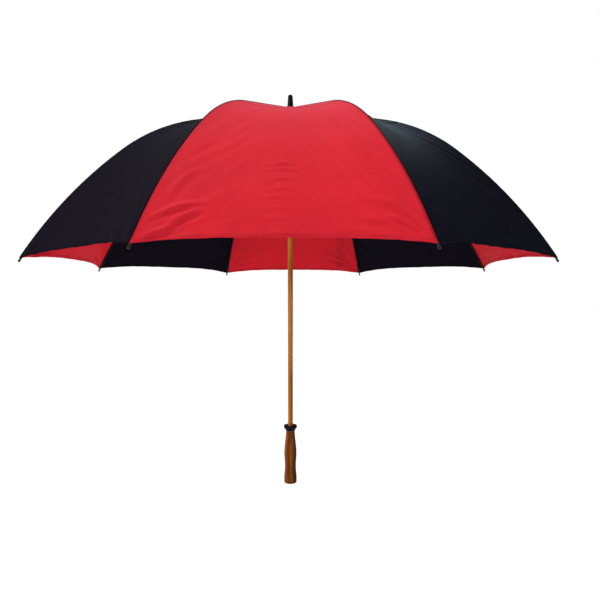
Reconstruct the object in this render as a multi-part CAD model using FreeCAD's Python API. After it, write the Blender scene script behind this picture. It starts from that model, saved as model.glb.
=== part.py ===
# Golf umbrella, open: eight ribs, eight fabric gores, wooden shaft and handle, and a sliding runner.
# Millimetres. The origin is the centre of the handle's flat end, +Z runs up the shaft,
# -Y is the middle of the front gore and +X is the user's right. Ribs lie 22.5 degrees off the axes.
import math
import os

import FreeCAD
import Part

# counts and angles
RIBS = 8
STEP = 45.0
FIRST_RIB = 22.5
HALF_GORE = 22.5

# heights along the shaft
HANDLE_TOP = 131.0
CUP_BOTTOM = 131.1
CUP_TOP = 146.0
CUP_PIN_Z = 136.5
TIP_PLANE = 543.0
HINGE_Z = 937.0
CAP_BASE = 940.3
CAP_TOP = 945.0
FERRULE_TOP = 974.0

# shaft and handle
SHAFT_R = 6.35
SHAFT_BOTTOM = 24.0
SHAFT_TOP = 952.6
FIT = 0.1
HANDLE_END_R = 15.75
HANDLE_BAND = (4.0, 18.0)
HANDLE_SHAPE = ((14.5, 30.0), (14.0, 42.0), (14.6, 57.0), (15.5, 73.0), (14.5, 92.0), (12.6, 110.0))
HANDLE_TOP_R = 11.0

# the rib seen from the side: a straight run, a tight arc, then a gentle arc to the tip
CROWN_Z = TIP_PLANE + 399.6
START_SLOPE = math.radians(13.82)
STRAIGHT = 245.8
ARC_ONE_R = 394.2
ARC_ONE = math.radians(26.95)
ARC_TWO_R = 1017.5
ARC_TWO = math.radians(18.87)
RIB_LENGTH = STRAIGHT + ARC_ONE_R * ARC_ONE + ARC_TWO_R * ARC_TWO
RIB_BELOW = 3.1
RIB_HALF_DEEP = 1.7
RIB_HALF_WIDE = 1.6
RIB_WALL = 0.8
GROOVE_END = 12.0
FLEX_AT = 284.0
FLEX_GAP = 0.3
TIP_LENGTH = 12.0
TIP_R = 2.1

# hinge at the crown, joint with the stretcher, and hinge at the runner
HINGE_R = 10.0
EYE_R = 2.1
EYE_THICK = 1.6
EYE_LENGTH = 8.0
PIN_HOLE_R = 0.8
JOINER_AT = 275.0
JOINER_DROP = 5.0
STRETCHER = 300.0
RUNNER_HINGE_R = 12.0
SLOT_WIDE = 2.6

# runner, with one long slot for the two catches
RUNNER_BORE_R = 6.9
RUNNER_TUBE_R = 9.0
RUNNER_BOTTOM = 626.0
RUNNER_RING_R = 15.0
RUNNER_SLOT = (633.8, 690.4)
RUNNER_STOP = 714.6

# catches
CATCH_THICK = 2.6
CATCH_OUT = 9.65
LOW_CATCH = (302.0, 318.0)
HIGH_CATCH = (672.0, 689.6)

# fabric
CLOTH = 0.6
CLOTH_LIFT = 2.5
CLOTH_START = 13.4
CORNER_SHORT = 8.0
HEM_SHORT = 28.0
TIE_WIDE = 28.0
TIE_OFFSET = 163.0
TIE_ENDS = (262.0, 34.0)


def vec(x, y, z):
    return FreeCAD.Vector(x, y, z)


def around(shape, degrees):
    turned = shape.copy()
    turned.rotate(vec(0, 0, 0), vec(0, 0, 1), degrees)
    return turned


def tube(outer, inner, low, high):
    body = Part.makeCylinder(outer, high - low, vec(0, 0, low))
    if inner > 0:
        body = body.cut(Part.makeCylinder(inner, high - low + 2, vec(0, 0, low - 1)))
    return body


def turned(points):
    """A solid of revolution about Z from (radius, height) corners."""
    wire = Part.makePolygon([vec(r, 0, z) for r, z in points + [points[0]]])
    return Part.Face(wire).revolve(vec(0, 0, 0), vec(0, 0, 1), 360)


def rib_point(s, lift=0.0):
    """Radius and height on the rib line, s from the crown, moved lift along the outward normal."""
    slope = START_SLOPE
    run = min(s, STRAIGHT)
    x = run * math.cos(slope)
    z = CROWN_Z - run * math.sin(slope)
    for radius, turn, begin in arcs():
        if s <= begin:
            break
        part = min((s - begin) / radius, turn)
        x += radius * (math.sin(slope + part) - math.sin(slope))
        z -= radius * (math.cos(slope) - math.cos(slope + part))
        slope += part
    return x + lift * math.sin(slope), z + lift * math.cos(slope)


def arcs():
    return (
        (ARC_ONE_R, ARC_ONE, STRAIGHT),
        (ARC_TWO_R, ARC_TWO, STRAIGHT + ARC_ONE_R * ARC_ONE),
    )


def edges_between(s0, s1, lift):
    """Exact lines and arcs along the rib line from s0 to s1, offset by lift."""
    marks = [0.0, STRAIGHT, STRAIGHT + ARC_ONE_R * ARC_ONE, RIB_LENGTH]
    out = []
    for n in range(3):
        a = max(s0, marks[n])
        b = min(s1, marks[n + 1])
        if b - a < 1e-6:
            continue
        p = rib_point(a, lift)
        q = rib_point(b, lift)
        m = rib_point((a + b) / 2, lift)
        if n == 0:
            out.append(Part.makeLine(vec(p[0], 0, p[1]), vec(q[0], 0, q[1])))
        else:
            out.append(Part.Arc(vec(p[0], 0, p[1]), vec(m[0], 0, m[1]), vec(q[0], 0, q[1])).toShape())
    return out


def rod(s0, s1, above, below, half_wide):
    """A bar that follows the rib line, between two offsets, in the XZ plane."""
    top = edges_between(s0, s1, above)
    low = edges_between(s0, s1, below)
    a = rib_point(s0, above)
    b = rib_point(s0, below)
    c = rib_point(s1, above)
    d = rib_point(s1, below)
    ends = [
        Part.makeLine(vec(a[0], 0, a[1]), vec(b[0], 0, b[1])),
        Part.makeLine(vec(c[0], 0, c[1]), vec(d[0], 0, d[1])),
    ]
    wire = Part.Wire(Part.__sortEdges__(top + low + ends))
    solid = Part.Face(wire).extrude(vec(0, 2 * half_wide, 0))
    solid.translate(vec(0, -half_wide, 0))
    return solid


def bar(p, q, half_deep, half_wide):
    """A straight rectangular bar from p to q, both (x, z)."""
    length = math.hypot(q[0] - p[0], q[1] - p[1])
    solid = Part.makeBox(length, 2 * half_wide, 2 * half_deep, vec(0, -half_wide, -half_deep))
    angle = math.degrees(math.atan2(q[1] - p[1], q[0] - p[0]))
    solid.rotate(vec(0, 0, 0), vec(0, 1, 0), -angle)
    solid.translate(vec(p[0], 0, p[1]))
    return solid


def disc(p, radius, thick):
    return Part.makeCylinder(radius, thick, vec(p[0], -thick / 2, p[1]), vec(0, 1, 0))


def along(p, q, distance):
    length = math.hypot(q[0] - p[0], q[1] - p[1])
    return p[0] + (q[0] - p[0]) * distance / length, p[1] + (q[1] - p[1]) * distance / length


def hinge_point():
    return HINGE_R, HINGE_Z


def joiner_point():
    """The pivot between rib and stretcher, under the rib."""
    return rib_point(JOINER_AT, -RIB_BELOW - JOINER_DROP)


def runner_point():
    """The hinge of a stretcher on the runner, with the umbrella open."""
    x, z = joiner_point()
    return RUNNER_HINGE_R, z - math.sqrt(STRETCHER ** 2 - (x - RUNNER_HINGE_R) ** 2)


def handle():
    bottom = vec(HANDLE_END_R - 2.6, 0, 0)
    low = vec(HANDLE_END_R, 0, HANDLE_BAND[0])
    high = vec(HANDLE_END_R, 0, HANDLE_BAND[1])
    top = vec(HANDLE_TOP_R, 0, HANDLE_TOP)
    corner = vec(HANDLE_END_R - 0.7, 0, 1.4)
    curve = Part.BSplineCurve()
    curve.interpolate([high] + [vec(r, 0, z) for r, z in HANDLE_SHAPE] + [top])
    edges = [
        Part.makeLine(vec(0, 0, 0), bottom),
        Part.Arc(bottom, corner, low).toShape(),
        Part.makeLine(low, high),
        curve.toShape(),
        Part.makeLine(top, vec(0, 0, HANDLE_TOP)),
        Part.makeLine(vec(0, 0, HANDLE_TOP), vec(0, 0, 0)),
    ]
    solid = Part.Face(Part.Wire(edges)).revolve(vec(0, 0, 0), vec(0, 0, 1), 360)
    return solid.cut(Part.makeCylinder(SHAFT_R + FIT, HANDLE_TOP, vec(0, 0, SHAFT_BOTTOM - FIT)))


def catch_cut(low, high):
    """The slot in the shaft that a catch sits in, on the +X side."""
    return Part.makeBox(20, CATCH_THICK + 0.4, high - low + 10, vec(-3.6, -CATCH_THICK / 2 - 0.2, low - 5))


def shaft():
    solid = Part.makeCylinder(SHAFT_R, SHAFT_TOP - SHAFT_BOTTOM, vec(0, 0, SHAFT_BOTTOM))
    for low, high in (LOW_CATCH, HIGH_CATCH):
        solid = solid.cut(catch_cut(low, high))
    for pin in pins(0.05):
        solid = solid.cut(pin)
    return solid


def catch_pivots():
    return (3.6, LOW_CATCH[1] + 1.5), (3.6, HIGH_CATCH[0] - 0.5)


def pins(extra=0.0):
    """Cross pins: the two catch pins, the stop above the runner, and the pin through the cup."""
    out = [
        Part.makeCylinder(1.0 + extra, 11.4, vec(x, -5.7, z), vec(0, 1, 0)).common(
            Part.makeCylinder(SHAFT_R - 0.4 + 4 * extra, 6, vec(0, 0, z - 3))
        )
        for x, z in catch_pivots()
    ]
    out.append(Part.makeCylinder(1.2 + extra, 17.4, vec(0, -8.7, RUNNER_STOP), vec(0, 1, 0)))
    out.append(Part.makeCylinder(1.0 + extra, 17, vec(0, -8.5, CUP_PIN_Z), vec(0, 1, 0)))
    return out


def shaft_pins():
    return Part.Compound(pins())


def tip_cup():
    """A flared cup, open at the top, with a scalloped rim of eight lobes."""
    outside = [(10.6, CUP_BOTTOM), (12.4, 133.4), (16.2, 138.8), (17.0, 141.0), (16.5, 143.8), (15.0, CUP_TOP)]
    inside = [(13.8, CUP_TOP), (15.1, 143.4), (15.4, 141.0), (14.6, 138.6), (11.6, 134.6), (8.6, 134.0)]
    collar = [(8.6, 139.0), (SHAFT_R + FIT, 139.0), (SHAFT_R + FIT, CUP_BOTTOM)]
    solid = turned(outside + inside + collar)
    for n in range(RIBS):
        notch = Part.makeCylinder(3.4, 12, vec(11, 0, CUP_TOP + 1.4), vec(1, 0, 0))
        solid = solid.cut(around(notch, FIRST_RIB + HALF_GORE + STEP * n))
    hole = Part.makeCylinder(1.05, 20, vec(0, -10, CUP_PIN_Z), vec(0, 1, 0))
    return solid.cut(hole)


def ferrule():
    low = CAP_TOP + 0.05
    curve = Part.Arc(vec(5.8, 0, 970.6), vec(4.9, 0, 972.9), vec(2.6, 0, FERRULE_TOP)).toShape()
    edges = [
        Part.makeLine(vec(0, 0, low), vec(7.5, 0, low)),
        Part.makeLine(vec(7.5, 0, low), vec(7.3, 0, low + 4)),
        Part.makeLine(vec(7.3, 0, low + 4), vec(5.8, 0, 970.6)),
        curve,
        Part.makeLine(vec(2.6, 0, FERRULE_TOP), vec(0, 0, FERRULE_TOP)),
        Part.makeLine(vec(0, 0, FERRULE_TOP), vec(0, 0, low)),
    ]
    solid = Part.Face(Part.Wire(edges)).revolve(vec(0, 0, 0), vec(0, 0, 1), 360)
    return solid.cut(Part.makeCylinder(SHAFT_R + FIT, 8.0, vec(0, 0, low)))


def crown_cap():
    """The flat cone that clamps the fabric under the ferrule."""
    return turned([(SHAFT_R + FIT, CAP_BASE), (16.0, CAP_BASE), (16.0, CAP_BASE + 0.8), (8.2, CAP_TOP),
                   (SHAFT_R + FIT, CAP_TOP)])


def crown_ring():
    solid = tube(11.8, SHAFT_R + FIT, 931.5, 940.2)
    for n in range(RIBS):
        gap = Part.makeBox(12, SLOT_WIDE, 939.5 - 931, vec(7.7, -SLOT_WIDE / 2, 931))
        solid = solid.cut(around(gap, FIRST_RIB + STEP * n))
    return solid.cut(Part.makeTorus(HINGE_R, 0.62, vec(0, 0, HINGE_Z)))


def crown_wire():
    return Part.makeTorus(HINGE_R, 0.55, vec(0, 0, HINGE_Z))


def runner():
    x, z = runner_point()
    top = z + 6.0
    solid = tube(RUNNER_TUBE_R, RUNNER_BORE_R, RUNNER_BOTTOM, z - 5.0)
    ring = tube(RUNNER_RING_R, RUNNER_BORE_R, z - 5.0, top)
    for n in range(RIBS):
        gap = Part.makeBox(12, SLOT_WIDE, 14, vec(9.2, -SLOT_WIDE / 2, z - 6))
        ring = ring.cut(around(gap, FIRST_RIB + STEP * n))
    flange = turned([(RUNNER_BORE_R, RUNNER_BOTTOM), (11.3, RUNNER_BOTTOM), (11.3, RUNNER_BOTTOM + 3),
                     (RUNNER_TUBE_R, RUNNER_BOTTOM + 7), (RUNNER_BORE_R, RUNNER_BOTTOM + 7)])
    solid = solid.fuse([ring, flange]).removeSplitter()
    low, high = RUNNER_SLOT
    slot = Part.makeBox(12, CATCH_THICK + 1.0, high - low, vec(4, -(CATCH_THICK + 1.0) / 2, low))
    return solid.cut(slot)


def catch(points, pivot):
    """A flat catch in the XZ plane, with a hole for its cross pin."""
    wire = Part.makePolygon([vec(x, -CATCH_THICK / 2, z) for x, z in points + [points[0]]])
    plate = Part.Face(wire).extrude(vec(0, CATCH_THICK, 0))
    return plate.cut(disc(pivot, 1.1, CATCH_THICK + 2))


def bottom_catch():
    low, high = LOW_CATCH
    pivot = catch_pivots()[0]
    points = [(1.6, high + 2.4), (1.6, high - 1), (3.4, low + 0.6), (6.0, low), (CATCH_OUT - 0.8, low + 1.8),
              (CATCH_OUT, low + 5.2), (6.4, high), (5.6, high + 3.2), (3.2, high + 3.6)]
    return catch(points, pivot)


def top_catch():
    low, high = HIGH_CATCH
    pivot = catch_pivots()[1]
    points = [(1.6, low - 1.4), (3.2, low - 2.6), (5.6, low - 2.2), (6.4, low + 1), (CATCH_OUT, high - 5.2),
              (CATCH_OUT - 0.4, high), (6.0, high), (3.4, high - 0.6), (1.6, low + 2)]
    return catch(points, pivot)


def channel(s0, s1):
    """A fluted rib from s0 to s1: a bar with a groove along its underside, solid at both ends."""
    main = rod(s0, s1, -RIB_BELOW + RIB_HALF_DEEP, -RIB_BELOW - RIB_HALF_DEEP, RIB_HALF_WIDE)
    groove = rod(s0 + GROOVE_END, s1 - GROOVE_END, -RIB_BELOW + RIB_HALF_DEEP - RIB_WALL,
                 -RIB_BELOW - RIB_HALF_DEEP - 1, RIB_HALF_WIDE - RIB_WALL)
    return main.cut(groove)


def rib_upper():
    """The straight part of a rib with its crown eye, and the joiner clipped under it."""
    end = hinge_point()
    begin = EYE_LENGTH - 0.5 + HINGE_R / math.cos(START_SLOPE)
    main = channel(begin, FLEX_AT - FLEX_GAP)
    direction = (end[0] + math.cos(START_SLOPE), end[1] - math.sin(START_SLOPE))
    eye = bar(end, along(end, direction, EYE_LENGTH), RIB_HALF_DEEP, EYE_THICK / 2)
    solid = main.fuse([eye, disc(end, EYE_R, EYE_THICK)]).removeSplitter()
    solid = solid.cut(disc(end, PIN_HOLE_R, 10))
    return Part.Compound([solid, joiner()])


def joiner():
    """A folded clip round the rib, whose two cheeks hold the stretcher's pivot pin."""
    first = JOINER_AT - 7.0
    last = JOINER_AT + 5.0
    middle = -RIB_BELOW
    wide = RIB_HALF_WIDE + 0.9
    inside = RIB_HALF_WIDE + 0.1
    band = rod(first, last, middle + RIB_HALF_DEEP + 0.35, middle - JOINER_DROP - 3.2, wide)
    hole = rod(first - 1, last + 1, middle + RIB_HALF_DEEP + 0.05, middle - RIB_HALF_DEEP - 0.05, inside)
    mouth = rod(first - 1, last + 1, middle - RIB_HALF_DEEP - 0.35, middle - JOINER_DROP - 4.2, inside)
    pin = disc(joiner_point(), 0.75, 2 * inside + 1.0)
    return band.cut(hole).cut(mouth).fuse(pin).removeSplitter()


def rib_lower():
    return channel(FLEX_AT + FLEX_GAP, RIB_LENGTH - TIP_LENGTH)


def rib_tip():
    """The rounded end piece on a rib."""
    p = rib_point(RIB_LENGTH - TIP_LENGTH + 0.02, -RIB_BELOW)
    q = rib_point(RIB_LENGTH, -RIB_BELOW)
    axis = vec(q[0] - p[0], 0, q[1] - p[1])
    axis.normalize()
    stem = Part.makeCylinder(TIP_R, TIP_LENGTH - 2.6, vec(p[0], 0, p[1]), axis)
    centre = vec(p[0], 0, p[1]) + axis * (TIP_LENGTH - 2.6)
    return stem.fuse(Part.makeSphere(2.6, centre)).removeSplitter()


def stretcher():
    """The strut from the joiner to the runner, flattened to an eye at each end."""
    p = joiner_point()
    q = runner_point()
    flat = bar(p, q, 1.5, EYE_THICK / 2)
    wide = bar(along(p, q, 9), along(q, p, 8.5), 1.5, 1.6)
    hollow = bar(along(p, q, 12), along(q, p, 11.5), 1.5, 0.8)
    hollow.translate(vec(-math.sin(math.atan2(p[1] - q[1], p[0] - q[0])) * -0.9, 0, -0.9))
    solid = flat.fuse([wide, disc(p, EYE_R, EYE_THICK), disc(q, EYE_R, EYE_THICK)]).removeSplitter()
    solid = solid.cut(hollow)
    solid = solid.cut(disc(p, PIN_HOLE_R, 10))
    return solid.fuse(disc(q, 0.6, SLOT_WIDE - 0.5)).removeSplitter()


def chord_point(s, lift):
    """A rib line point seen in the plane through the middle of a gore."""
    r, z = rib_point(s, lift)
    return vec(r * math.cos(math.radians(HALF_GORE)), 0, z)


def chord_curve(s0, s1, lift):
    marks = [s0 + (s1 - s0) * n / 12 for n in range(13)]
    curve = Part.BSplineCurve()
    curve.interpolate([chord_point(s, lift) for s in marks])
    return curve.toShape()


def sheet(s0, s1, low, high, half_wide):
    """A sheet that follows the gore from s0 to s1 and is half_wide each side of its middle."""
    top = chord_curve(s0, s1, high)
    under = chord_curve(s0, s1, low)
    ends = [
        Part.makeLine(chord_point(s0, high), chord_point(s0, low)),
        Part.makeLine(chord_point(s1, high), chord_point(s1, low)),
    ]
    wire = Part.Wire(Part.__sortEdges__([top, under] + ends))
    solid = Part.Face(wire).extrude(vec(0, 2 * half_wide, 0))
    solid.translate(vec(0, -half_wide, 0))
    return solid


def wedge():
    """The sector between two neighbouring ribs, less a hair at each seam."""
    reach = 900.0
    side = reach * math.tan(math.radians(HALF_GORE))
    gap = 0.06
    wire = Part.makePolygon([vec(gap * 2.6, 0, 0), vec(reach, -side + gap, 0), vec(reach, side - gap, 0),
                             vec(gap * 2.6, 0, 0)])
    return Part.Face(wire).extrude(vec(0, 0, 1200))


def hem_cut():
    """What lies beyond the hem: a shallow arc from corner to corner."""
    corner = chord_point(RIB_LENGTH - CORNER_SHORT, 0)
    middle = chord_point(RIB_LENGTH - HEM_SHORT, 0)
    down = corner - middle
    down.normalize()
    normal = vec(down.z, 0, -down.x) * -1
    side = corner.x * math.tan(math.radians(HALF_GORE))
    left = corner + vec(0, -side, 0)
    right = corner + vec(0, side, 0)
    arc = Part.Arc(left, middle, right).toShape()
    far_right = right + vec(0, 40, 0) + down * 60
    far_left = left + vec(0, -40, 0) + down * 60
    edges = [arc, Part.makeLine(right, far_right), Part.makeLine(far_right, far_left),
             Part.makeLine(far_left, left)]
    prism = Part.Face(Part.Wire(edges)).extrude(normal * 80)
    prism.translate(normal * -40)
    return prism


def canopy_upper():
    start = CLOTH_START / math.cos(START_SLOPE)
    low = CLOTH_LIFT - RIB_BELOW
    return sheet(start, FLEX_AT - 0.15, low, low + CLOTH, 400).common(wedge())


def canopy_lower():
    low = CLOTH_LIFT - RIB_BELOW
    solid = sheet(FLEX_AT + 0.15, RIB_LENGTH - 2, low, low + CLOTH, 400)
    return solid.common(wedge()).cut(hem_cut())


def tie_strap():
    """The strap that ties the closed umbrella, sewn on the outside of the rear gore."""
    low = CLOTH_LIFT - RIB_BELOW + CLOTH + 0.1
    solid = sheet(RIB_LENGTH - TIE_ENDS[0], RIB_LENGTH - TIE_ENDS[1], low, low + 1.0, TIE_WIDE / 2)
    solid.translate(vec(0, -TIE_OFFSET, 0))
    return solid


def fixed_parts():
    return {
        "shaft": shaft(),
        "shaft_pins": shaft_pins(),
        "handle": handle(),
        "tip_cup": tip_cup(),
        "ferrule": ferrule(),
        "crown_cap": crown_cap(),
        "crown_ring": crown_ring(),
        "crown_wire": crown_wire(),
        "runner": runner(),
        "top_catch": top_catch(),
        "bottom_catch": bottom_catch(),
        "tie_strap": around(tie_strap(), 90.0),
    }


def repeated_parts():
    """Each named shape, and the angle of the first of its eight copies."""
    return {
        "rib_upper": (rib_upper(), FIRST_RIB),
        "rib_lower": (rib_lower(), FIRST_RIB),
        "rib_tip": (rib_tip(), FIRST_RIB),
        "stretcher": (stretcher(), FIRST_RIB),
        "canopy_upper": (canopy_upper(), FIRST_RIB + HALF_GORE),
        "canopy_lower": (canopy_lower(), FIRST_RIB + HALF_GORE),
    }


def main():
    os.makedirs("parts", exist_ok=True)
    for name, solid in fixed_parts().items():
        solid.exportStep("parts/" + name + ".step")
    for name, (solid, first) in repeated_parts().items():
        for n in range(RIBS):
            copy = around(solid, first + STEP * n)
            copy.exportStep("parts/" + name + "_" + str(n + 1) + ".step")


if __name__ == "__main__":
    main()
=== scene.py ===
# Golf umbrella: the looks. The seams, thread ties, corner pockets and the ring at the tip cup ride on bodies
# of the imported frame.
import bpy
import math
import numpy as np
from mathutils import Matrix, Vector, noise


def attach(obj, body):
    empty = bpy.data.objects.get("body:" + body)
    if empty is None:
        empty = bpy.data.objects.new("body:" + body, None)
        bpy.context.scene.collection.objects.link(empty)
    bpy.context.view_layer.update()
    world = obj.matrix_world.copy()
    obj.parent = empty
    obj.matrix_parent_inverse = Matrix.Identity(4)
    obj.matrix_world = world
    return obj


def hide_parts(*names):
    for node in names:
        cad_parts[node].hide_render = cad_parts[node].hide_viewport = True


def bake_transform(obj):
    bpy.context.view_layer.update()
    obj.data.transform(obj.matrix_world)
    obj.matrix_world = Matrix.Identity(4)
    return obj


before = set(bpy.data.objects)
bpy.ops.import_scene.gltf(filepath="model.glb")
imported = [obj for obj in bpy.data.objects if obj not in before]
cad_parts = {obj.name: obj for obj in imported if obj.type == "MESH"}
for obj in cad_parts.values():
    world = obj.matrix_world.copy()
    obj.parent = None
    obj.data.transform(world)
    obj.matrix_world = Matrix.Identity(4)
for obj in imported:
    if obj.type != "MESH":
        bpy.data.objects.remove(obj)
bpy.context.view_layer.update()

# the rib seen from the side, in metres, as the frame has it: a straight length and then two arcs
CROWN_Z = 0.9426
SLOPE = math.radians(13.82)
STRAIGHT = 0.2458
ARCS = ((0.3942, math.radians(26.95)), (1.0175, math.radians(18.87)))
LENGTH = STRAIGHT + sum(r * a for r, a in ARCS)
RIBS = range(1, 9)
RIB_STEP = 45.0
HALF = math.radians(RIB_STEP / 2)

# the cloth, in metres along the rib line: where it starts, where a gore's two pieces meet, and how far short
# of the rib's end it stops at a corner and at the middle of the hem
START = 0.0140
SPLIT = 0.284
CORNER = 0.0080
HEM = 0.0300
HEM_CURVE = 2.6
CLOTH = 0.00035
HEM_EXTRA = 0.0005
HEM_WIDTH = 0.0076
PUFF = 0.35


def rib_line(s, lift=0.0):
    """Radius, height and slope on the rib line, s along it from the crown."""
    a = SLOPE
    run = min(s, STRAIGHT)
    x = run * math.cos(a)
    z = CROWN_Z - run * math.sin(a)
    begin = STRAIGHT
    for radius, turn in ARCS:
        if s <= begin:
            break
        part = min((s - begin) / radius, turn)
        x += radius * (math.sin(a + part) - math.sin(a))
        z -= radius * (math.cos(a) - math.cos(a + part))
        a += part
        begin += radius * turn
    return x + lift * math.sin(a), z + lift * math.cos(a), a


def rib_turn(rib):
    """The turn about the shaft that brings the rib line onto a rib."""
    return Matrix.Rotation(HALF + math.radians(RIB_STEP) * (rib - 1), 3, "Z")


def smooth(t):
    """An even rise from 0 to 1."""
    t = min(max(t, 0.0), 1.0)
    return t * t * (3 - 2 * t)


def hem_at(u):
    """How far along the rib line the hem lies: lowest at the corners, nearly level between."""
    return LENGTH - HEM + (HEM - CORNER) * abs(u) ** HEM_CURVE


# ---------------------------------------------------------------- materials


def new_material(name):
    """An empty node material."""
    m = bpy.data.materials.new(name)
    m.use_nodes = True
    m.node_tree.nodes.clear()
    return m


class Nodes:
    """A short way to add nodes and link them."""

    def __init__(self, material):
        self.tree = material.node_tree

    def add(self, kind, inputs=None, **settings):
        """A node; an input is a value or another node's output."""
        n = self.tree.nodes.new(kind)
        for key, value in settings.items():
            setattr(n, key, value)
        for key, value in (inputs or {}).items():
            if isinstance(value, bpy.types.NodeSocket):
                self.tree.links.new(value, n.inputs[key])
            else:
                n.inputs[key].default_value = value
        return n

    def ramp(self, fac, stops):
        n = self.add("ShaderNodeValToRGB", {"Fac": fac})
        points = n.color_ramp.elements
        while len(points) < len(stops):
            points.new(0.5)
        for point, (where, colour) in zip(points, stops):
            point.position = where
            point.color = (*colour, 1.0)
        return n.outputs["Color"]

    def math(self, kind, a, b=0.0):
        n = self.tree.nodes.new("ShaderNodeMath")
        n.operation = kind
        for i, v in enumerate((a, b)):
            if isinstance(v, bpy.types.NodeSocket):
                self.tree.links.new(v, n.inputs[i])
            else:
                n.inputs[i].default_value = v
        return n.outputs[0]

    def mix(self, fac, a, b, kind="MIX"):
        n = self.tree.nodes.new("ShaderNodeMix")
        n.data_type = "RGBA"
        n.blend_type = kind
        for key, v in (("Factor", fac), ("A", a), ("B", b)):
            sock = [s for s in n.inputs if s.name == key and s.enabled][0]
            if isinstance(v, bpy.types.NodeSocket):
                self.tree.links.new(v, sock)
            elif key == "Factor":
                sock.default_value = v
            else:
                sock.default_value = (*v, 1.0)
        return [s for s in n.outputs if s.enabled][0]


WEAVE = 2 * math.pi / 0.0007
SLUB_SCALE = 900.0
SLUB_STRETCH = 0.06
STITCH_LINE = 0.0068


def fabric(name, colour, top, sheen, through, rough=0.5, gloss=0.1, sheen_tint=(1, 1, 1)):
    """Fine woven cloth: plain weave, slubs along the threads, stitched hem and seams, some light through.

    top is a paler colour painted at the crown as painted light from above, from which it goes over to colour
    halfway down.
    """
    m = new_material(name)
    g = Nodes(m)
    uv = g.add("ShaderNodeUVMap", uv_map="Cloth").outputs["UV"]
    where = g.add("ShaderNodeSeparateXYZ", {"Vector": uv})
    across = where.outputs["X"]
    down = where.outputs["Y"]
    warp = g.math("SINE", g.math("MULTIPLY", across, WEAVE))
    weft = g.math("SINE", g.math("MULTIPLY", down, WEAVE))
    weave = g.math("MULTIPLY", warp, weft)
    slubs = []
    for stretch in ((1.0, SLUB_STRETCH, 1.0), (SLUB_STRETCH, 1.0, 1.0)):
        drawn = g.add("ShaderNodeMapping", {"Vector": uv, "Scale": stretch}).outputs["Vector"]
        slub = g.add("ShaderNodeTexNoise", {"Vector": drawn, "Scale": SLUB_SCALE, "Detail": 2.0})
        slubs.append(slub.outputs["Fac"])
    cloud = g.add("ShaderNodeTexNoise", {"Vector": uv, "Scale": 9.0, "Detail": 3.0, "Roughness": 0.55})
    threads = g.math("ADD", *slubs)
    shade = g.math("ADD", g.math("MULTIPLY", threads, 0.16), g.math("MULTIPLY", cloud.outputs["Fac"], 0.22))
    shade = g.math("ADD", shade, 0.73)
    # painted light: the cloth is painted paler towards the crown, a painted sheen of light from above that
    # fades out halfway down
    crown_painted_light = g.add("ShaderNodeMapRange", {"Value": down, "From Min": 0.02, "From Max": 0.52,
                                      "To Min": 1.0, "To Max": 0.0})
    base = g.mix(crown_painted_light.outputs["Result"], colour, top)
    grey = g.add("ShaderNodeCombineColor", {"Red": shade, "Green": shade, "Blue": shade})
    base = g.mix(1.0, base, grey.outputs["Color"], "MULTIPLY")
    edge = g.add("ShaderNodeAttribute", attribute_name="edge").outputs["Fac"]
    # painted shade: the cloth is painted darker where it lies double at the hem and beside the seams, for the
    # light that two layers let through less
    doubled_cloth_painted_shade = g.math("LESS_THAN", edge, 0.0075)
    line = g.math("LESS_THAN", g.math("ABSOLUTE", g.math("SUBTRACT", edge, STITCH_LINE)), 0.00035)
    run = g.math("MULTIPLY", g.math("ADD", across, down), 2800.0)
    dash = g.math("GREATER_THAN", g.math("SINE", run), -0.3)
    stitch = g.math("MULTIPLY", line, dash)
    base = g.mix(g.math("MULTIPLY", doubled_cloth_painted_shade, 0.10), base, (0.0, 0.0, 0.0))
    base = g.mix(g.math("MULTIPLY", stitch, 0.5), base, tuple(0.3 * c for c in colour))
    height = g.math("ADD", g.math("MULTIPLY", weave, 0.00002), g.math("MULTIPLY", threads, 0.00005))
    height = g.math("ADD", height, g.math("MULTIPLY", cloud.outputs["Fac"], 0.0006))
    height = g.math("SUBTRACT", height, g.math("MULTIPLY", stitch, 0.0003))
    bump = g.add("ShaderNodeBump", {"Height": height, "Strength": 0.6, "Distance": 1.0})
    rougher = g.math("ADD", g.math("MULTIPLY", threads, 0.10), rough - 0.1)
    skin = g.add("ShaderNodeBsdfPrincipled", {
        "Base Color": base, "Roughness": rougher, "Specular IOR Level": gloss, "Sheen Weight": sheen,
        "Sheen Roughness": 0.4, "Sheen Tint": (*sheen_tint, 1.0), "Normal": bump.outputs["Normal"]})
    glow = g.add("ShaderNodeBsdfTranslucent", {"Color": base, "Normal": bump.outputs["Normal"]})
    both = g.add("ShaderNodeMixShader", {0: through})
    g.tree.links.new(skin.outputs[0], both.inputs[1])
    g.tree.links.new(glow.outputs[0], both.inputs[2])
    g.add("ShaderNodeOutputMaterial", {"Surface": both.outputs[0]})
    return m


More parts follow.
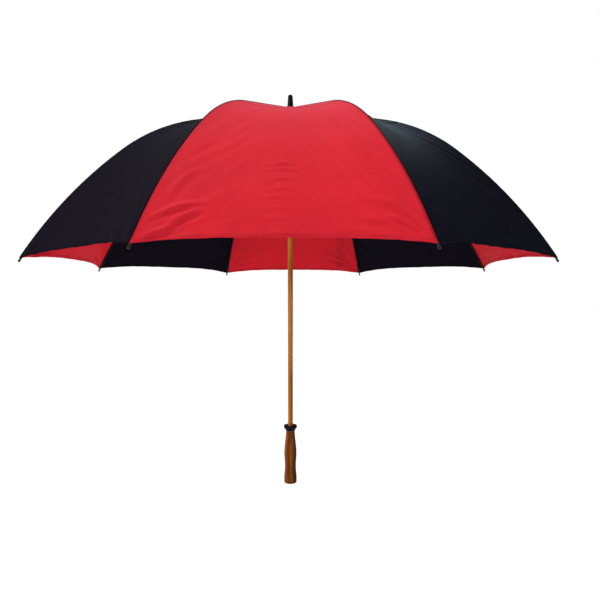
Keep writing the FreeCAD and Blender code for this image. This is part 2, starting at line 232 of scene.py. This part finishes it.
def wood(name, dark, mid, light, rough, rings, coat, lean):
    """Straight-grained wood along Z, with pores and a thin varnish. It is painted darker towards +X by lean,
    as painted shade of light falling from the left.
    """
    m = new_material(name)
    g = Nodes(m)
    at = g.add("ShaderNodeTexCoord").outputs["Object"]
    grain = g.add("ShaderNodeMapping", {"Vector": at, "Scale": (1.0, 1.0, 0.045)})
    wander = g.add("ShaderNodeTexNoise", {"Vector": grain.outputs["Vector"], "Scale": 160.0, "Detail": 5.0,
                                         "Roughness": 0.6})
    bands = g.add("ShaderNodeTexWave", {"Vector": grain.outputs["Vector"], "Scale": rings, "Distortion": 6.0,
                                       "Detail": 3.0, "Detail Scale": 2.0}, wave_type="RINGS",
                  rings_direction="X")
    fine = g.add("ShaderNodeMapping", {"Vector": at, "Scale": (1.0, 1.0, 0.03)})
    pores = g.add("ShaderNodeTexNoise", {"Vector": fine.outputs["Vector"], "Scale": 1500.0, "Detail": 2.0})
    tone = g.math("ADD", g.math("MULTIPLY", wander.outputs["Fac"], 0.80),
                  g.math("MULTIPLY", bands.outputs["Fac"], 0.20))
    # painted shade: the wood is painted darker towards +X, not a darker heartwood
    painted_shade_x = g.add("ShaderNodeSeparateXYZ", {"Vector": at}).outputs["X"]
    tone = g.math("SUBTRACT", tone, g.math("MULTIPLY", painted_shade_x, lean))
    colour = g.ramp(tone, ((0.22, dark), (0.5, mid), (0.8, light)))
    pit = g.math("LESS_THAN", pores.outputs["Fac"], 0.40)
    colour = g.mix(g.math("MULTIPLY", pit, 0.35), colour, tuple(0.35 * c for c in dark))
    height = g.math("SUBTRACT", g.math("MULTIPLY", tone, 0.00012), g.math("MULTIPLY", pit, 0.00008))
    bump = g.add("ShaderNodeBump", {"Height": height, "Strength": 0.5, "Distance": 1.0})
    skin = g.add("ShaderNodeBsdfPrincipled", {
        "Base Color": colour, "Roughness": g.math("ADD", g.math("MULTIPLY", tone, 0.15), rough),
        "Specular IOR Level": 0.03, "Coat Weight": coat, "Coat Roughness": 0.25,
        "Normal": bump.outputs["Normal"]})
    g.add("ShaderNodeOutputMaterial", {"Surface": skin.outputs[0]})
    return m


def moulded(name, colour, rough):
    """Black moulded plastic, finely textured and a little worn."""
    m = new_material(name)
    g = Nodes(m)
    at = g.add("ShaderNodeTexCoord").outputs["Object"]
    fine = g.add("ShaderNodeTexNoise", {"Vector": at, "Scale": 1800.0, "Detail": 3.0})
    wide = g.add("ShaderNodeTexNoise", {"Vector": at, "Scale": 120.0, "Detail": 4.0})
    dark = tuple(0.75 * c for c in colour)
    worn = tuple(1.5 * c for c in colour)
    base = g.ramp(wide.outputs["Fac"], ((0.3, dark), (0.75, worn)))
    height = g.math("MULTIPLY", fine.outputs["Fac"], 0.00006)
    bump = g.add("ShaderNodeBump", {"Height": height, "Strength": 0.5, "Distance": 1.0})
    rougher = g.math("ADD", g.math("MULTIPLY", wide.outputs["Fac"], 0.2), rough - 0.1)
    skin = g.add("ShaderNodeBsdfPrincipled", {
        "Base Color": base, "Roughness": rougher, "Specular IOR Level": 0.04,
        "Normal": bump.outputs["Normal"]})
    g.add("ShaderNodeOutputMaterial", {"Surface": skin.outputs[0]})
    return m


RUBBED = (0.35, 0.33, 0.31)


def metal(name, colour, rough, metallic=1.0, wear=0.0, gloss=0.5):
    """Steel, bare or lacquered, with fine brushing and rubbed spots. Thread and the pale ring at the tip cup
    use it as well.
    """
    m = new_material(name)
    g = Nodes(m)
    at = g.add("ShaderNodeTexCoord").outputs["Object"]
    fine = g.add("ShaderNodeTexNoise", {"Vector": at, "Scale": 700.0, "Detail": 4.0})
    wide = g.add("ShaderNodeTexNoise", {"Vector": at, "Scale": 45.0, "Detail": 5.0, "Roughness": 0.7})
    rubbed = g.math("MULTIPLY", g.math("GREATER_THAN", wide.outputs["Fac"], 0.66), wear)
    base = g.mix(rubbed, colour, RUBBED)
    base = g.mix(g.math("MULTIPLY", fine.outputs["Fac"], 0.25), base, tuple(0.5 * c for c in colour))
    height = g.math("MULTIPLY", fine.outputs["Fac"], 0.00003)
    bump = g.add("ShaderNodeBump", {"Height": height, "Strength": 0.4, "Distance": 1.0})
    rougher = g.math("ADD", g.math("MULTIPLY", fine.outputs["Fac"], 0.15), rough)
    skin = g.add("ShaderNodeBsdfPrincipled", {
        "Base Color": base, "Metallic": metallic, "Specular IOR Level": gloss, "Roughness": rougher,
        "Normal": bump.outputs["Normal"]})
    g.add("ShaderNodeOutputMaterial", {"Surface": skin.outputs[0]})
    return m


# the second colour of the red and the black cloth is painted light at the crown: a painted pinkish sheen on
# the red, a painted bluish sheen on the black
RED = fabric("red_cloth", (0.61, 0.020, 0.034), (0.64, 0.066, 0.100), 0.03, 0.45, 0.50, 0.02,
             (1.0, 0.75, 0.8))
BLACK = fabric("black_cloth", (0.0048, 0.0038, 0.0070), (0.0066, 0.0076, 0.0116), 0.0, 0.04, 0.55, 0.004)
STRAP = fabric("strap_cloth", (0.36, 0.008, 0.014), (0.36, 0.008, 0.014), 0.0, 0.05, 0.6)
POCKET = fabric("pocket_cloth", (0.016, 0.013, 0.014), (0.016, 0.013, 0.014), 0.0, 0.05, 0.6, 0.01)
THREAD = metal("seam_thread", (0.003, 0.003, 0.004), 0.85, 0.0, 0.0, 0.001)
# the last number of each wood is painted shade: how much darker it is painted towards +X
LIGHT_WOOD = wood("shaft_wood", (0.15, 0.036, 0.003), (0.36, 0.125, 0.012), (0.55, 0.25, 0.040),
                  0.40, 30.0, 0.01, 26.0)
DARK_WOOD = wood("handle_wood", (0.030, 0.006, 0.0010), (0.110, 0.028, 0.0030), (0.26, 0.085, 0.0070),
                 0.38, 26.0, 0.02, 14.0)
PLASTIC = moulded("black_plastic", (0.0040, 0.0022, 0.0042), 0.34)
LACQUER = metal("black_lacquer", (0.008, 0.008, 0.009), 0.35, 0.0, 0.2, 0.10)
TIP = metal("tip_metal", (0.010, 0.010, 0.011), 0.22, 0.0, 0.3, 0.06)
STEEL = metal("steel", (0.42, 0.42, 0.42), 0.30)
RING = metal("pale_ring", (0.22, 0.17, 0.13), 0.6, 0.0, 0.0, 0.05)


def carry(prefixes, material):
    """Gives a better material to the CAD nodes whose names start so."""
    for name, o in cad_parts.items():
        if name.startswith(prefixes):
            if not o.data.materials:
                o.data.materials.append(None)
            for s in o.material_slots:
                s.link = "OBJECT"
                s.material = material


carry(("shaft_pins", "crown_wire", "top_catch", "bottom_catch"), STEEL)
carry(("rib_upper", "rib_lower", "stretcher"), LACQUER)
carry(("rib_tip",), TIP)
carry(("ferrule", "crown_cap", "crown_ring", "runner", "tip_cup"), PLASTIC)
carry(("handle",), DARK_WOOD)
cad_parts["shaft"].material_slots[0].link = "OBJECT"
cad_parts["shaft"].material_slots[0].material = LIGHT_WOOD

# ---------------------------------------------------------------- meshes


def mesh_object(name, points, faces, material):
    """A smooth-shaded object of these points and faces."""
    me = bpy.data.meshes.new(name)
    me.from_pydata([tuple(p) for p in points], [], faces)
    me.polygons.foreach_set("use_smooth", [True] * len(me.polygons))
    me.materials.append(material)
    me.update()
    o = bpy.data.objects.new(name, me)
    bpy.context.collection.objects.link(o)
    return o


def thick_sheet(name, rows, cols, point, uv, edge, weight, thick, material):
    """A closed thin sheet over a grid. point and the rest take (row, column).

    The mesh is laid out flat, by weight across the cloth and distance along it. put() then moves it to place.
    """
    n = rows * cols
    grid = [(i, j) for i in range(rows) for j in range(cols)]
    mid = np.array([point(i, j) for i, j in grid], float).reshape(rows, cols, 3)
    across = np.gradient(mid, axis=1)
    along = np.gradient(mid, axis=0)
    normal = np.cross(along, across)
    normal /= np.linalg.norm(normal, axis=2, keepdims=True)
    half = np.array([thick(i, j) for i, j in grid], float).reshape(rows, cols, 1) / 2
    place = np.concatenate([(mid + normal * half).reshape(n, 3), (mid - normal * half).reshape(n, 3)])
    diagonals = np.cross(mid[1:, 1:] - mid[:-1, :-1], mid[:-1, 1:] - mid[1:, :-1])
    area = float(np.linalg.norm(diagonals, axis=2).sum() / 2)
    faces = []
    for i in range(rows - 1):
        for j in range(cols - 1):
            a, b, c, d = i * cols + j, i * cols + j + 1, (i + 1) * cols + j + 1, (i + 1) * cols + j
            faces.append((a, d, c, b))
            faces.append((n + a, n + b, n + c, n + d))
    rim = [j for j in range(cols)] + [i * cols + cols - 1 for i in range(1, rows)]
    rim += [(rows - 1) * cols + j for j in range(cols - 2, -1, -1)]
    rim += [i * cols for i in range(rows - 2, 0, -1)]
    for a, b in zip(rim, rim[1:] + rim[:1]):
        faces.append((a, b, n + b, n + a))
    flat = [(weight(i, j), uv(i, j)[1], 0.0) for i, j in grid]
    flat += [(x, y, -1.0) for x, y, _ in flat]
    o = mesh_object(name, flat, faces, material)
    # flat rim faces keep the shading of the two sides apart
    for p in o.data.polygons[-len(rim):]:
        p.use_smooth = False
    layer = o.data.uv_layers.new(name="Cloth")
    spots = [uv(i, j) for i, j in grid] * 2
    for loop, data in zip(o.data.loops, layer.data):
        data.uv = spots[loop.vertex_index]
    mark = o.data.attributes.new("edge", "FLOAT", "POINT")
    mark.data.foreach_set("value", [edge(i, j) for i, j in grid] * 2)
    return o, place, area


def lay(u):
    """Where u lies on the flat layout of the cloth, from seam to seam.

    It undoes most of an ease in and out.
    """
    t = (1 + u) / 2
    share = (1 - PUFF) * t + PUFF * smooth(t)
    return -2 * math.sin(math.asin(max(-1.0, min(1.0, 1 - 2 * share))) / 3)


def put(o, place):
    """Moves a sheet that was laid out flat to where it hangs."""
    o.data.vertices.foreach_set("co", place.astype(np.float32).ravel())
    o.data.update()


# ---------------------------------------------------------------- the canopy

COLS = 81
UPPER_ROWS = 50
LOWER_ROWS = 152
HEM_ROWS = (0.0078, 0.0070, 0.0035, 0.0005, 0.0)
LAP = 0.014
LAP_DROP = 0.00040
LAP_RISE = 0.012
SAG = 0.0165
SAG_REACH = 0.190


def sag(s, u):
    """How far the cloth is drawn in between two ribs."""
    grow = 1 - math.exp(-((s / SAG_REACH) ** 2))
    return SAG * grow * (1 - u * u)


def ridge(x, width):
    """A smooth bump, 1 high, at x = 0."""
    return math.exp(-((x / width) ** 2))


def fold(off, wide):
    """A ridge of cloth with a hollow beside it."""
    return ridge(off, wide) - 0.6 * ridge(off + 1.7 * wide, wide)


def chance(*seeds):
    """The same number from -1 to 1 for the same seeds."""
    a, b, c = (tuple(seeds) + (0.37, 0.73))[:3]
    drawn = noise.noise(Vector((a * 1.37 + 0.5, b * 2.11 + 0.3, c * 3.7 + 0.7)))
    return max(-1.0, min(1.0, 1.8 * drawn))


# creases at the front gore's lower corners: (in from the corner, up from the hem) at each end and height
FRONT_LEFT = (
    ((0.018, 0.010), (0.056, 0.032), 0.0036),
    ((0.048, 0.026), (0.098, 0.076), 0.0042),
    ((0.026, 0.050), (0.100, 0.092), 0.0034),
    ((0.050, 0.100), (0.085, 0.170), 0.0014),
)
FRONT_RIGHT = (
    ((0.008, 0.030), (0.086, 0.100), 0.0048),
    ((0.022, 0.028), (0.072, 0.060), 0.0044),
    ((0.034, 0.020), (0.105, 0.060), 0.0040),
    ((0.060, 0.012), (0.150, 0.040), 0.0018),
    ((0.030, 0.110), (0.110, 0.190), 0.0014),
)


CORNER_CREASES = 5
CREASE_REACH = 0.24
CREASE_SIDE = 0.03
CREASE_BOW = 0.07


def chance_creases(seed):
    """Creases for a corner of any other gore."""
    out = []
    for n in range(CORNER_CREASES):
        angle = math.radians(18 + 12 * n + 6 * chance(seed, n, 1))
        start = 0.030 + 0.012 * chance(seed, n, 2)
        length = 0.085 + 0.035 * chance(seed, n, 3)
        lean = angle + math.radians(8 * chance(seed, n, 4))
        x, y = start * math.cos(angle), start * math.sin(angle)
        end = (x + length * math.cos(lean), y + length * math.sin(lean))
        out.append(((x, y), end, 0.0014 + 0.0006 * chance(seed, n, 5)))
    return tuple(out)


def crease(x, y, a, b, high):
    """One crease from a to b, with fading ends and a slight bow."""
    dx, dy = b[0] - a[0], b[1] - a[1]
    length = math.hypot(dx, dy)
    t = ((x - a[0]) * dx + (y - a[1]) * dy) / length ** 2
    if t < -0.3 or t > 1.3:
        return 0.0
    off = ((y - a[1]) * dx - (x - a[0]) * dy) / length - CREASE_BOW * length * math.sin(math.pi * t)
    if abs(off) > CREASE_SIDE:
        return 0.0
    wide = 0.0036 + 0.0030 * max(t, 0.0)
    return high * math.exp(-((2 * t - 1) ** 4)) * fold(off, wide)


# tension folds: angle up from the hem in degrees, height and reach
RAYS = ((8, 0.0009, 0.20), (17, 0.0010, 0.17), (29, 0.0012, 0.15), (42, 0.0011, 0.17), (54, 0.0009, 0.22))
RAY_END = 0.40


def corner_rays(x, y, seed):
    """Soft tension folds that fan out of a lower corner. x runs in from the corner and y up from the hem."""
    far = math.hypot(x, y)
    if far < 1e-5 or far > RAY_END:
        return 0.0
    angle = math.degrees(math.atan2(y, x))
    total = 0.0
    for n, (at, high, reach) in enumerate(RAYS):
        off = math.radians(angle - at - 5.0 * chance(seed, n, far)) * far
        strength = high * (1.0 + 0.4 * chance(seed, n, 9))
        fade = strength * smooth(far / 0.05) * math.exp(-((far / reach) ** 2))
        total += fade * fold(off, 0.005 + 0.040 * far)
    return total


LEVELS = 8
LEVEL_FIRST = 0.558
LEVEL_STEP = 0.0235
LEVEL_ROWS = (0.53, 0.74)
LEVEL_SIDE = 0.14
FRONT = 6
CREASES = {}
for g in RIBS:
    CREASES[g] = (chance_creases(g), chance_creases(g + 20))
CREASES[FRONT] = (FRONT_LEFT, FRONT_RIGHT)


def level_folds(side, s, gore):
    """A ladder of short level folds in the middle of a gore, above the hem: strong only on the front gore."""
    if abs(side) > LEVEL_SIDE or s < LEVEL_ROWS[0] or s > LEVEL_ROWS[1]:
        return 0.0
    total = 0.0
    shift = 0.0 if gore == FRONT else 0.05 * chance(gore, 3.3)
    strength = 1.0 if gore == FRONT else 0.25 + 0.25 * chance(gore, 5.1)
    for n in range(LEVELS):
        at = LEVEL_FIRST + LEVEL_STEP * n + 0.006 * chance(gore, n, 6)
        middle = -0.010 + shift + 0.008 * chance(gore, n, 7)
        long = 0.020 + 0.007 * chance(gore, n, 8)
        bow = 0.22 * (side - middle) ** 2 / long + 0.12 * chance(gore, n, 4) * (side - middle)
        high = 0.0016 + 0.0008 * chance(gore, n, 9)
        total += high * ridge(side - middle, long) * fold(at + bow - s, 0.0042)
    return total * strength


# heights of the small folds, in metres
SCALLOP = 0.0008
STROKE = 0.0009
PRESSED = 0.0008
PUCKER = 0.0007
UNEVEN = 0.0024


def wrinkles(s, u, gore):
    """Small folds of the stretched cloth, in metres, along its outward normal."""
    x = rib_line(s)[0]
    side = u * x * math.sin(HALF)
    corner = rib_line(LENGTH - CORNER)[0] * math.sin(HALF)
    up = LENGTH - CORNER - s
    total = corner_rays(corner + side, up, gore) + corner_rays(corner - side, up, gore + 20)
    if up < CREASE_REACH:
        for a, b, high in CREASES[gore][0]:
            total += crease(corner + side, up, a, b, high)
        for a, b, high in CREASES[gore][1]:
            total += crease(corner - side, up, a, b, high)
    total += level_folds(side, s, gore)
    # shallow scallops just above the hem
    wobble = noise.noise(Vector((side * 14.0, s * 9.0, gore * 5.5)))
    low = ridge(hem_at(u) - s - 0.010, 0.018) * (1 - u ** 4)
    total += SCALLOP * low * math.sin(side * 95.0 + 4 * wobble)
    # faint slanting strokes beside the ribs, fanned by the pull of the seams
    away = abs(side)
    slant = noise.noise(Vector((away * 60.0 - s * 42.0, away * 6.0 + s * 7.0, gore * 3.3 + (u > 0))))
    total += STROKE * slant * smooth((abs(u) - 0.15) / 0.4) * smooth((1.0 - abs(u)) / 0.15) * smooth(s / 0.2)
    # a pressed crease down the middle, and puckers at the crown
    total += PRESSED * ridge(side, 0.0035) * smooth((0.47 - s) / 0.2) * smooth((s - 0.03) / 0.05)
    total += PUCKER * math.cos(math.pi * 6 * u) * (1 - u * u) * ridge(s - 0.02, 0.035)
    # slow unevenness of the whole cloth
    slow = noise.noise(Vector((side * 7.0, s * 5.0, gore * 7.7)))
    total += UNEVEN * slow * (1 - u * u) * smooth(s / 0.15)
    return total * smooth((1.0 - abs(u)) / 0.05)


def gore_frame(gore):
    """The two ribs of a gore, and the turn that puts it in its place."""
    return gore, gore % 8 + 1, Matrix.Rotation(math.radians(RIB_STEP * gore), 3, "Z")


def gore_point(s, u, gore, turn, drop=0.0):
    """A point of the cloth's middle surface."""
    x, z, a = rib_line(s, -0.0003)
    e = x * math.cos(HALF)
    normal = Vector((math.sin(a), 0.0, math.cos(HALF) * math.cos(a))).normalized()
    push = wrinkles(s, u, gore) - sag(s, u) - drop
    return tuple(turn @ (Vector((e, u * x * math.sin(HALF), z)) + normal * push))


def gore_piece(gore, upper):
    """The upper or lower piece of one gore, from its own rib to the next."""
    first, last, turn = gore_frame(gore)
    rows = UPPER_ROWS if upper else LOWER_ROWS

    def along(i, u):
        if upper:
            return START + (SPLIT - START) * (i / (rows - 1)) ** 0.92
        plain = rows - len(HEM_ROWS)
        begin = SPLIT - LAP
        if i >= plain:
            return hem_at(u) - HEM_ROWS[i - plain]
        return begin + (hem_at(u) - 0.011 - begin) * i / (plain - 1)

    def share(j):
        return -1.0 + 2.0 * j / (COLS - 1)

    def where(i, j):
        u = share(j)
        s = along(i, u)
        drop = 0.0
        if not upper:
            drop = LAP_DROP * smooth((SPLIT + LAP - s) / LAP_RISE)
        return gore_point(s, u, gore, turn, drop)

    def uv(i, j):
        u = share(j)
        s = along(i, u)
        return u * rib_line(s)[0] * math.sin(HALF) + 0.6 * gore, s

    def edge(i, j):
        u = share(j)
        s = along(i, u)
        seam = (1 - abs(u)) * rib_line(s)[0] * math.sin(HALF) + 0.003
        return min(seam, max(hem_at(u) - s, 0.0)) if not upper else seam

    def thick(i, j):
        if upper:
            return CLOTH
        inside = hem_at(share(j)) - along(i, share(j))
        turned = HEM_EXTRA * smooth((HEM_WIDTH - inside) / 0.0006)
        return CLOTH + turned - 0.0004 * smooth((0.0004 - inside) / 0.0002)

    part = "upper" if upper else "lower"
    name = "gore_%s_%d" % (part, gore)
    colour = RED if gore % 2 == 0 else BLACK
    o, place, area = thick_sheet(name, rows, COLS, where, uv, edge, lambda i, j: lay(share(j)), thick, colour)
    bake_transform(o)
    put(o, place)
    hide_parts("canopy_%s_%d" % (part, gore))
    wide = 2 * rib_line(SPLIT if upper else LENGTH - CORNER)[0] * math.sin(HALF)


for g in RIBS:
    gore_piece(g, True)
    gore_piece(g, False)


def bead(name, points, radius, material, body, sides=6):
    """A thin cord along points, closed at both ends."""
    out = []
    faces = []
    pts = [Vector(p) for p in points]
    for i, p in enumerate(pts):
        t = (pts[min(i + 1, len(pts) - 1)] - pts[max(i - 1, 0)]).normalized()
        a = t.cross(Vector((0, 0, 1))).normalized()
        b = t.cross(a)
        for k in range(sides):
            w = 2 * math.pi * k / sides
            out.append(p + a * radius * math.cos(w) + b * radius * math.sin(w))
    for i in range(len(pts) - 1):
        for k in range(sides):
            m = (k + 1) % sides
            faces.append((i * sides + k, i * sides + m, (i + 1) * sides + m, (i + 1) * sides + k))
    faces.append(tuple(range(sides - 1, -1, -1)))
    faces.append(tuple((len(pts) - 1) * sides + k for k in range(sides)))
    o = mesh_object(name, out, faces, material)
    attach(o, body)
    return o


SEAM_R = 0.00062
SEAM_GAP = 0.0006
SEAM_STEP = 0.006


def seams(rib):
    """The stitched seam that stands a little proud over each rib."""
    turn = rib_turn(rib)
    lengths = (("upper", START, SPLIT - SEAM_GAP), ("lower", SPLIT + SEAM_GAP, LENGTH - CORNER - 0.001))
    for part, s0, s1 in lengths:
        count = int((s1 - s0) / SEAM_STEP)
        points = []
        for i in range(count + 1):
            x, z, _ = rib_line(s0 + (s1 - s0) * i / count, 0.0001)
            points.append(turn @ Vector((x, 0, z)))
        o = bead("seam_%s_%d" % (part, rib), points, SEAM_R, THREAD, "rib_%d_%s" % (rib, part))


for r in RIBS:
    seams(r)

TIES = (0.37, 0.47, 0.57, 0.67)
TIE_TURNS = 3
TIE_STEPS = 14
TIE_PITCH = 0.0007
TIE_WIDE = 0.0021
TIE_HIGH = 0.0023
TIE_DOWN = 0.0030
TIE_R = 0.0003


def tie(rib, s):
    """A few turns of black thread that hold the cloth's seam to its rib."""
    turn = rib_turn(rib)
    points = []
    for n in range(TIE_TURNS * TIE_STEPS + 1):
        w = 2 * math.pi * n / TIE_STEPS
        x, z, _ = rib_line(s + TIE_PITCH * n / TIE_STEPS, -TIE_DOWN + TIE_HIGH * math.sin(w))
        points.append(turn @ Vector((x, TIE_WIDE * math.cos(w), z)))
    o = bead("tie_%d_at_%d" % (rib, round(s * 1000)), points, TIE_R, THREAD, "rib_%d_lower" % rib, 5)


for r in RIBS:
    for s in TIES:
        tie(r, s)

RING_SIDES = 48
RING_R = 0.0112
RING_Z = 0.1307
RING_WIRE = 0.00035


def cup_ring():
    """A thin pale ring where the tip cup meets the handle; what it is isn't known."""
    points = []
    for n in range(RING_SIDES + 1):
        w = 2 * math.pi * n / RING_SIDES
        points.append(Vector((RING_R * math.cos(w), RING_R * math.sin(w), RING_Z)))
    bead("cup_ring", points, RING_WIRE, RING, "stick")


cup_ring()

POCKET_BACK = 0.040
POCKET_LONG = 0.0275
POCKET_WIDE = 0.0046
POCKET_DEEP = 0.0026
POCKET_DOWN = 0.0036
POCKET_CLOTH = 0.0004


def pocket(rib):
    """The little cloth sleeve at the corner that the rib's end sits in."""
    turn = rib_turn(rib)
    rings = 10
    sides = 14
    points = []
    faces = []
    for i in range(rings):
        t = i / (rings - 1)
        s = LENGTH - POCKET_BACK + POCKET_LONG * t
        for k in range(sides):
            w = 2 * math.pi * k / sides
            wide = POCKET_WIDE - 0.0016 * t + 0.0003 * math.sin(9 * t + rib)
            flatter = 1.0 if math.sin(w) < 0 else 0.95
            x, z, _ = rib_line(s, -POCKET_DOWN + POCKET_DEEP * math.sin(w) * flatter)
            points.append(turn @ Vector((x, wide * math.cos(w), z)))
    for i in range(rings - 1):
        for k in range(sides):
            m = (k + 1) % sides
            faces.append((i * sides + k, i * sides + m, (i + 1) * sides + m, (i + 1) * sides + k))
    o = mesh_object("pocket_%d" % rib, points, faces, POCKET)
    solid = o.modifiers.new("thick", "SOLIDIFY")
    solid.thickness = POCKET_CLOTH
    solid.offset = -1.0
    layer = o.data.uv_layers.new(name="Cloth")
    for loop, data in zip(o.data.loops, layer.data):
        i, k = divmod(loop.vertex_index, sides)
        data.uv = (0.002 * k, 0.003 * i)
    mark = o.data.attributes.new("edge", "FLOAT", "POINT")
    mark.data.foreach_set("value", [0.02] * len(points))
    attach(o, "rib_%d_lower" % rib)


for r in RIBS:
    pocket(r)

STRAP_GORE = 2
STRAP_FROM = 0.262
STRAP_TO = 0.034
STRAP_HALF = 0.0136
STRAP_SIDE = -0.163
STRAP_THICK = 0.0008
STRAP_ROWS = 60
STRAP_COLS = 9
STRAP_COL = 0.0034


def tie_strap():
    """The strap for the closed umbrella, sewn on the outside of the rear gore beside a rib."""
    turn = gore_frame(STRAP_GORE)[2]
    s0, s1 = LENGTH - STRAP_FROM, LENGTH - STRAP_TO

    def share(i, j):
        s = s0 + (s1 - s0) * i / (STRAP_ROWS - 1)
        side = STRAP_SIDE + STRAP_HALF * (-1 + 2 * j / (STRAP_COLS - 1))
        return side / (rib_line(s)[0] * math.sin(HALF)), s

    def where(i, j):
        u, s = share(i, j)
        bow = 0.0006 + 0.0007 * math.sin(math.pi * j / (STRAP_COLS - 1))
        bow += 0.0012 * math.sin(s * 70) ** 2 * (i / STRAP_ROWS)
        return gore_point(s, u, STRAP_GORE, turn, -bow)

    def uv(i, j):
        return STRAP_COL * j, s0 + (s1 - s0) * i / (STRAP_ROWS - 1)

    def edge(i, j):
        return STRAP_THICK + min(j, STRAP_COLS - 1 - j) * STRAP_COL

    o, place, _ = thick_sheet("tie_strap", STRAP_ROWS, STRAP_COLS, where, uv, edge,
                              lambda i, j: lay(share(i, j)[0]), lambda i, j: STRAP_THICK, STRAP)
    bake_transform(o)
    put(o, place)
    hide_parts("tie_strap")


tie_strap()


# ---------------------------------------------------------------- stage, light and camera


FLOOR_RINGS = (0.5, 1.0, 2.0, 4.0, 8.0, 16.0)
FLOOR_SIDES = 48
FLOOR_Z = -0.0004
FLOOR_GLOW = 0.92


def stage():
    """A wide pale floor, faintly glowing so that it stays white far from the lamps."""
    points = [(0.0, 0.0, FLOOR_Z)]
    faces = []
    for n, r in enumerate(FLOOR_RINGS):
        for k in range(FLOOR_SIDES):
            w = 2 * math.pi * k / FLOOR_SIDES
            points.append((r * math.cos(w), r * math.sin(w), FLOOR_Z))
            a, b = 1 + n * FLOOR_SIDES + k, 1 + n * FLOOR_SIDES + (k + 1) % FLOOR_SIDES
            faces.append((a - FLOOR_SIDES, a, b, b - FLOOR_SIDES) if n else (0, a, b))
    m = new_material("pale_floor")
    g = Nodes(m)
    at = g.add("ShaderNodeTexCoord").outputs["Object"]
    faint = g.add("ShaderNodeTexNoise", {"Vector": at, "Scale": 3.0, "Detail": 2.0})
    tone = g.ramp(faint.outputs["Fac"], ((0.3, (0.28, 0.28, 0.28)), (0.7, (0.31, 0.31, 0.31))))
    skin = g.add("ShaderNodeBsdfPrincipled", {
        "Base Color": tone, "Roughness": 0.9, "Specular IOR Level": 0.0,
        "Emission Color": (1.0, 1.0, 1.0, 1.0), "Emission Strength": FLOOR_GLOW})
    g.add("ShaderNodeOutputMaterial", {"Surface": skin.outputs[0]})
    mesh_object("floor", points, faces, m)


def lamp(name, place, aim, size, power, colour=(1, 1, 1)):
    """A round soft lamp of this size in metres and power in watts."""
    data = bpy.data.lights.new(name, "AREA")
    data.shape = "DISK"
    data.size = size
    data.energy = power
    data.color = colour
    o = bpy.data.objects.new(name, data)
    o.location = place
    o.rotation_euler = (Vector(aim) - Vector(place)).to_track_quat("-Z", "Y").to_euler()
    bpy.context.collection.objects.link(o)


stage()
lamp("key", (-3.0, -1.7, 2.4), (0, -0.1, 0.7), 0.9, 82.0)
lamp("top", (-0.9, 0.0, 3.7), (0, 0, 0.8), 0.7, 90.0)
lamp("fill", (2.8, -3.2, 1.2), (0, 0, 0.7), 2.2, 14.0, (0.62, 0.82, 1.0))
lamp("below", (-0.5, -2.4, 0.12), (0, 0.4, 0.7), 1.6, 30.0)
lamp("back", (1.2, 2.6, 3.2), (0, 0, 0.7), 1.6, 36.0, (0.66, 0.84, 1.0))
lamp("side", (3.6, -0.7, 1.7), (0.2, 0, 0.8), 1.8, 60.0, (0.50, 0.76, 1.0))


def sky():
    """A white backdrop. What lights the object is dimmer, and brighter on the left than on the right."""
    world = bpy.data.worlds.new("studio")
    world.use_nodes = True
    world.node_tree.nodes.clear()
    g = Nodes(world)
    aim = g.add("ShaderNodeSeparateXYZ", {"Vector": g.add("ShaderNodeTexCoord").outputs["Generated"]})
    across = g.math("ADD", g.math("MULTIPLY", aim.outputs["X"], 0.5), 0.5)
    tone = g.ramp(across, ((0.0, (0.62, 0.62, 0.62)), (1.0, (0.26, 0.28, 0.31))))
    seen = g.add("ShaderNodeLightPath").outputs["Is Camera Ray"]
    light = g.add("ShaderNodeBackground", {"Color": g.mix(seen, tone, (1.0, 1.0, 1.0)), "Strength": 1.0})
    g.add("ShaderNodeOutputWorld", {"Surface": light.outputs[0]})
    bpy.context.scene.world = world


sky()
bpy.context.scene.view_settings.view_transform = "Standard"

# the photograph's viewpoint, solved from the eight rib tips
EYE = (0.0242, -1.409, 0.472)
EYE_DOWN = 0.49
LENS = 33.6
eye = bpy.data.cameras.new("camera")
eye.sensor_width = 36.0
eye.lens = LENS
camera = bpy.data.objects.new("camera", eye)
camera.location = EYE
camera.rotation_euler = (math.radians(90.0 - EYE_DOWN), 0, 0)
bpy.context.collection.objects.link(camera)
bpy.context.scene.camera = camera
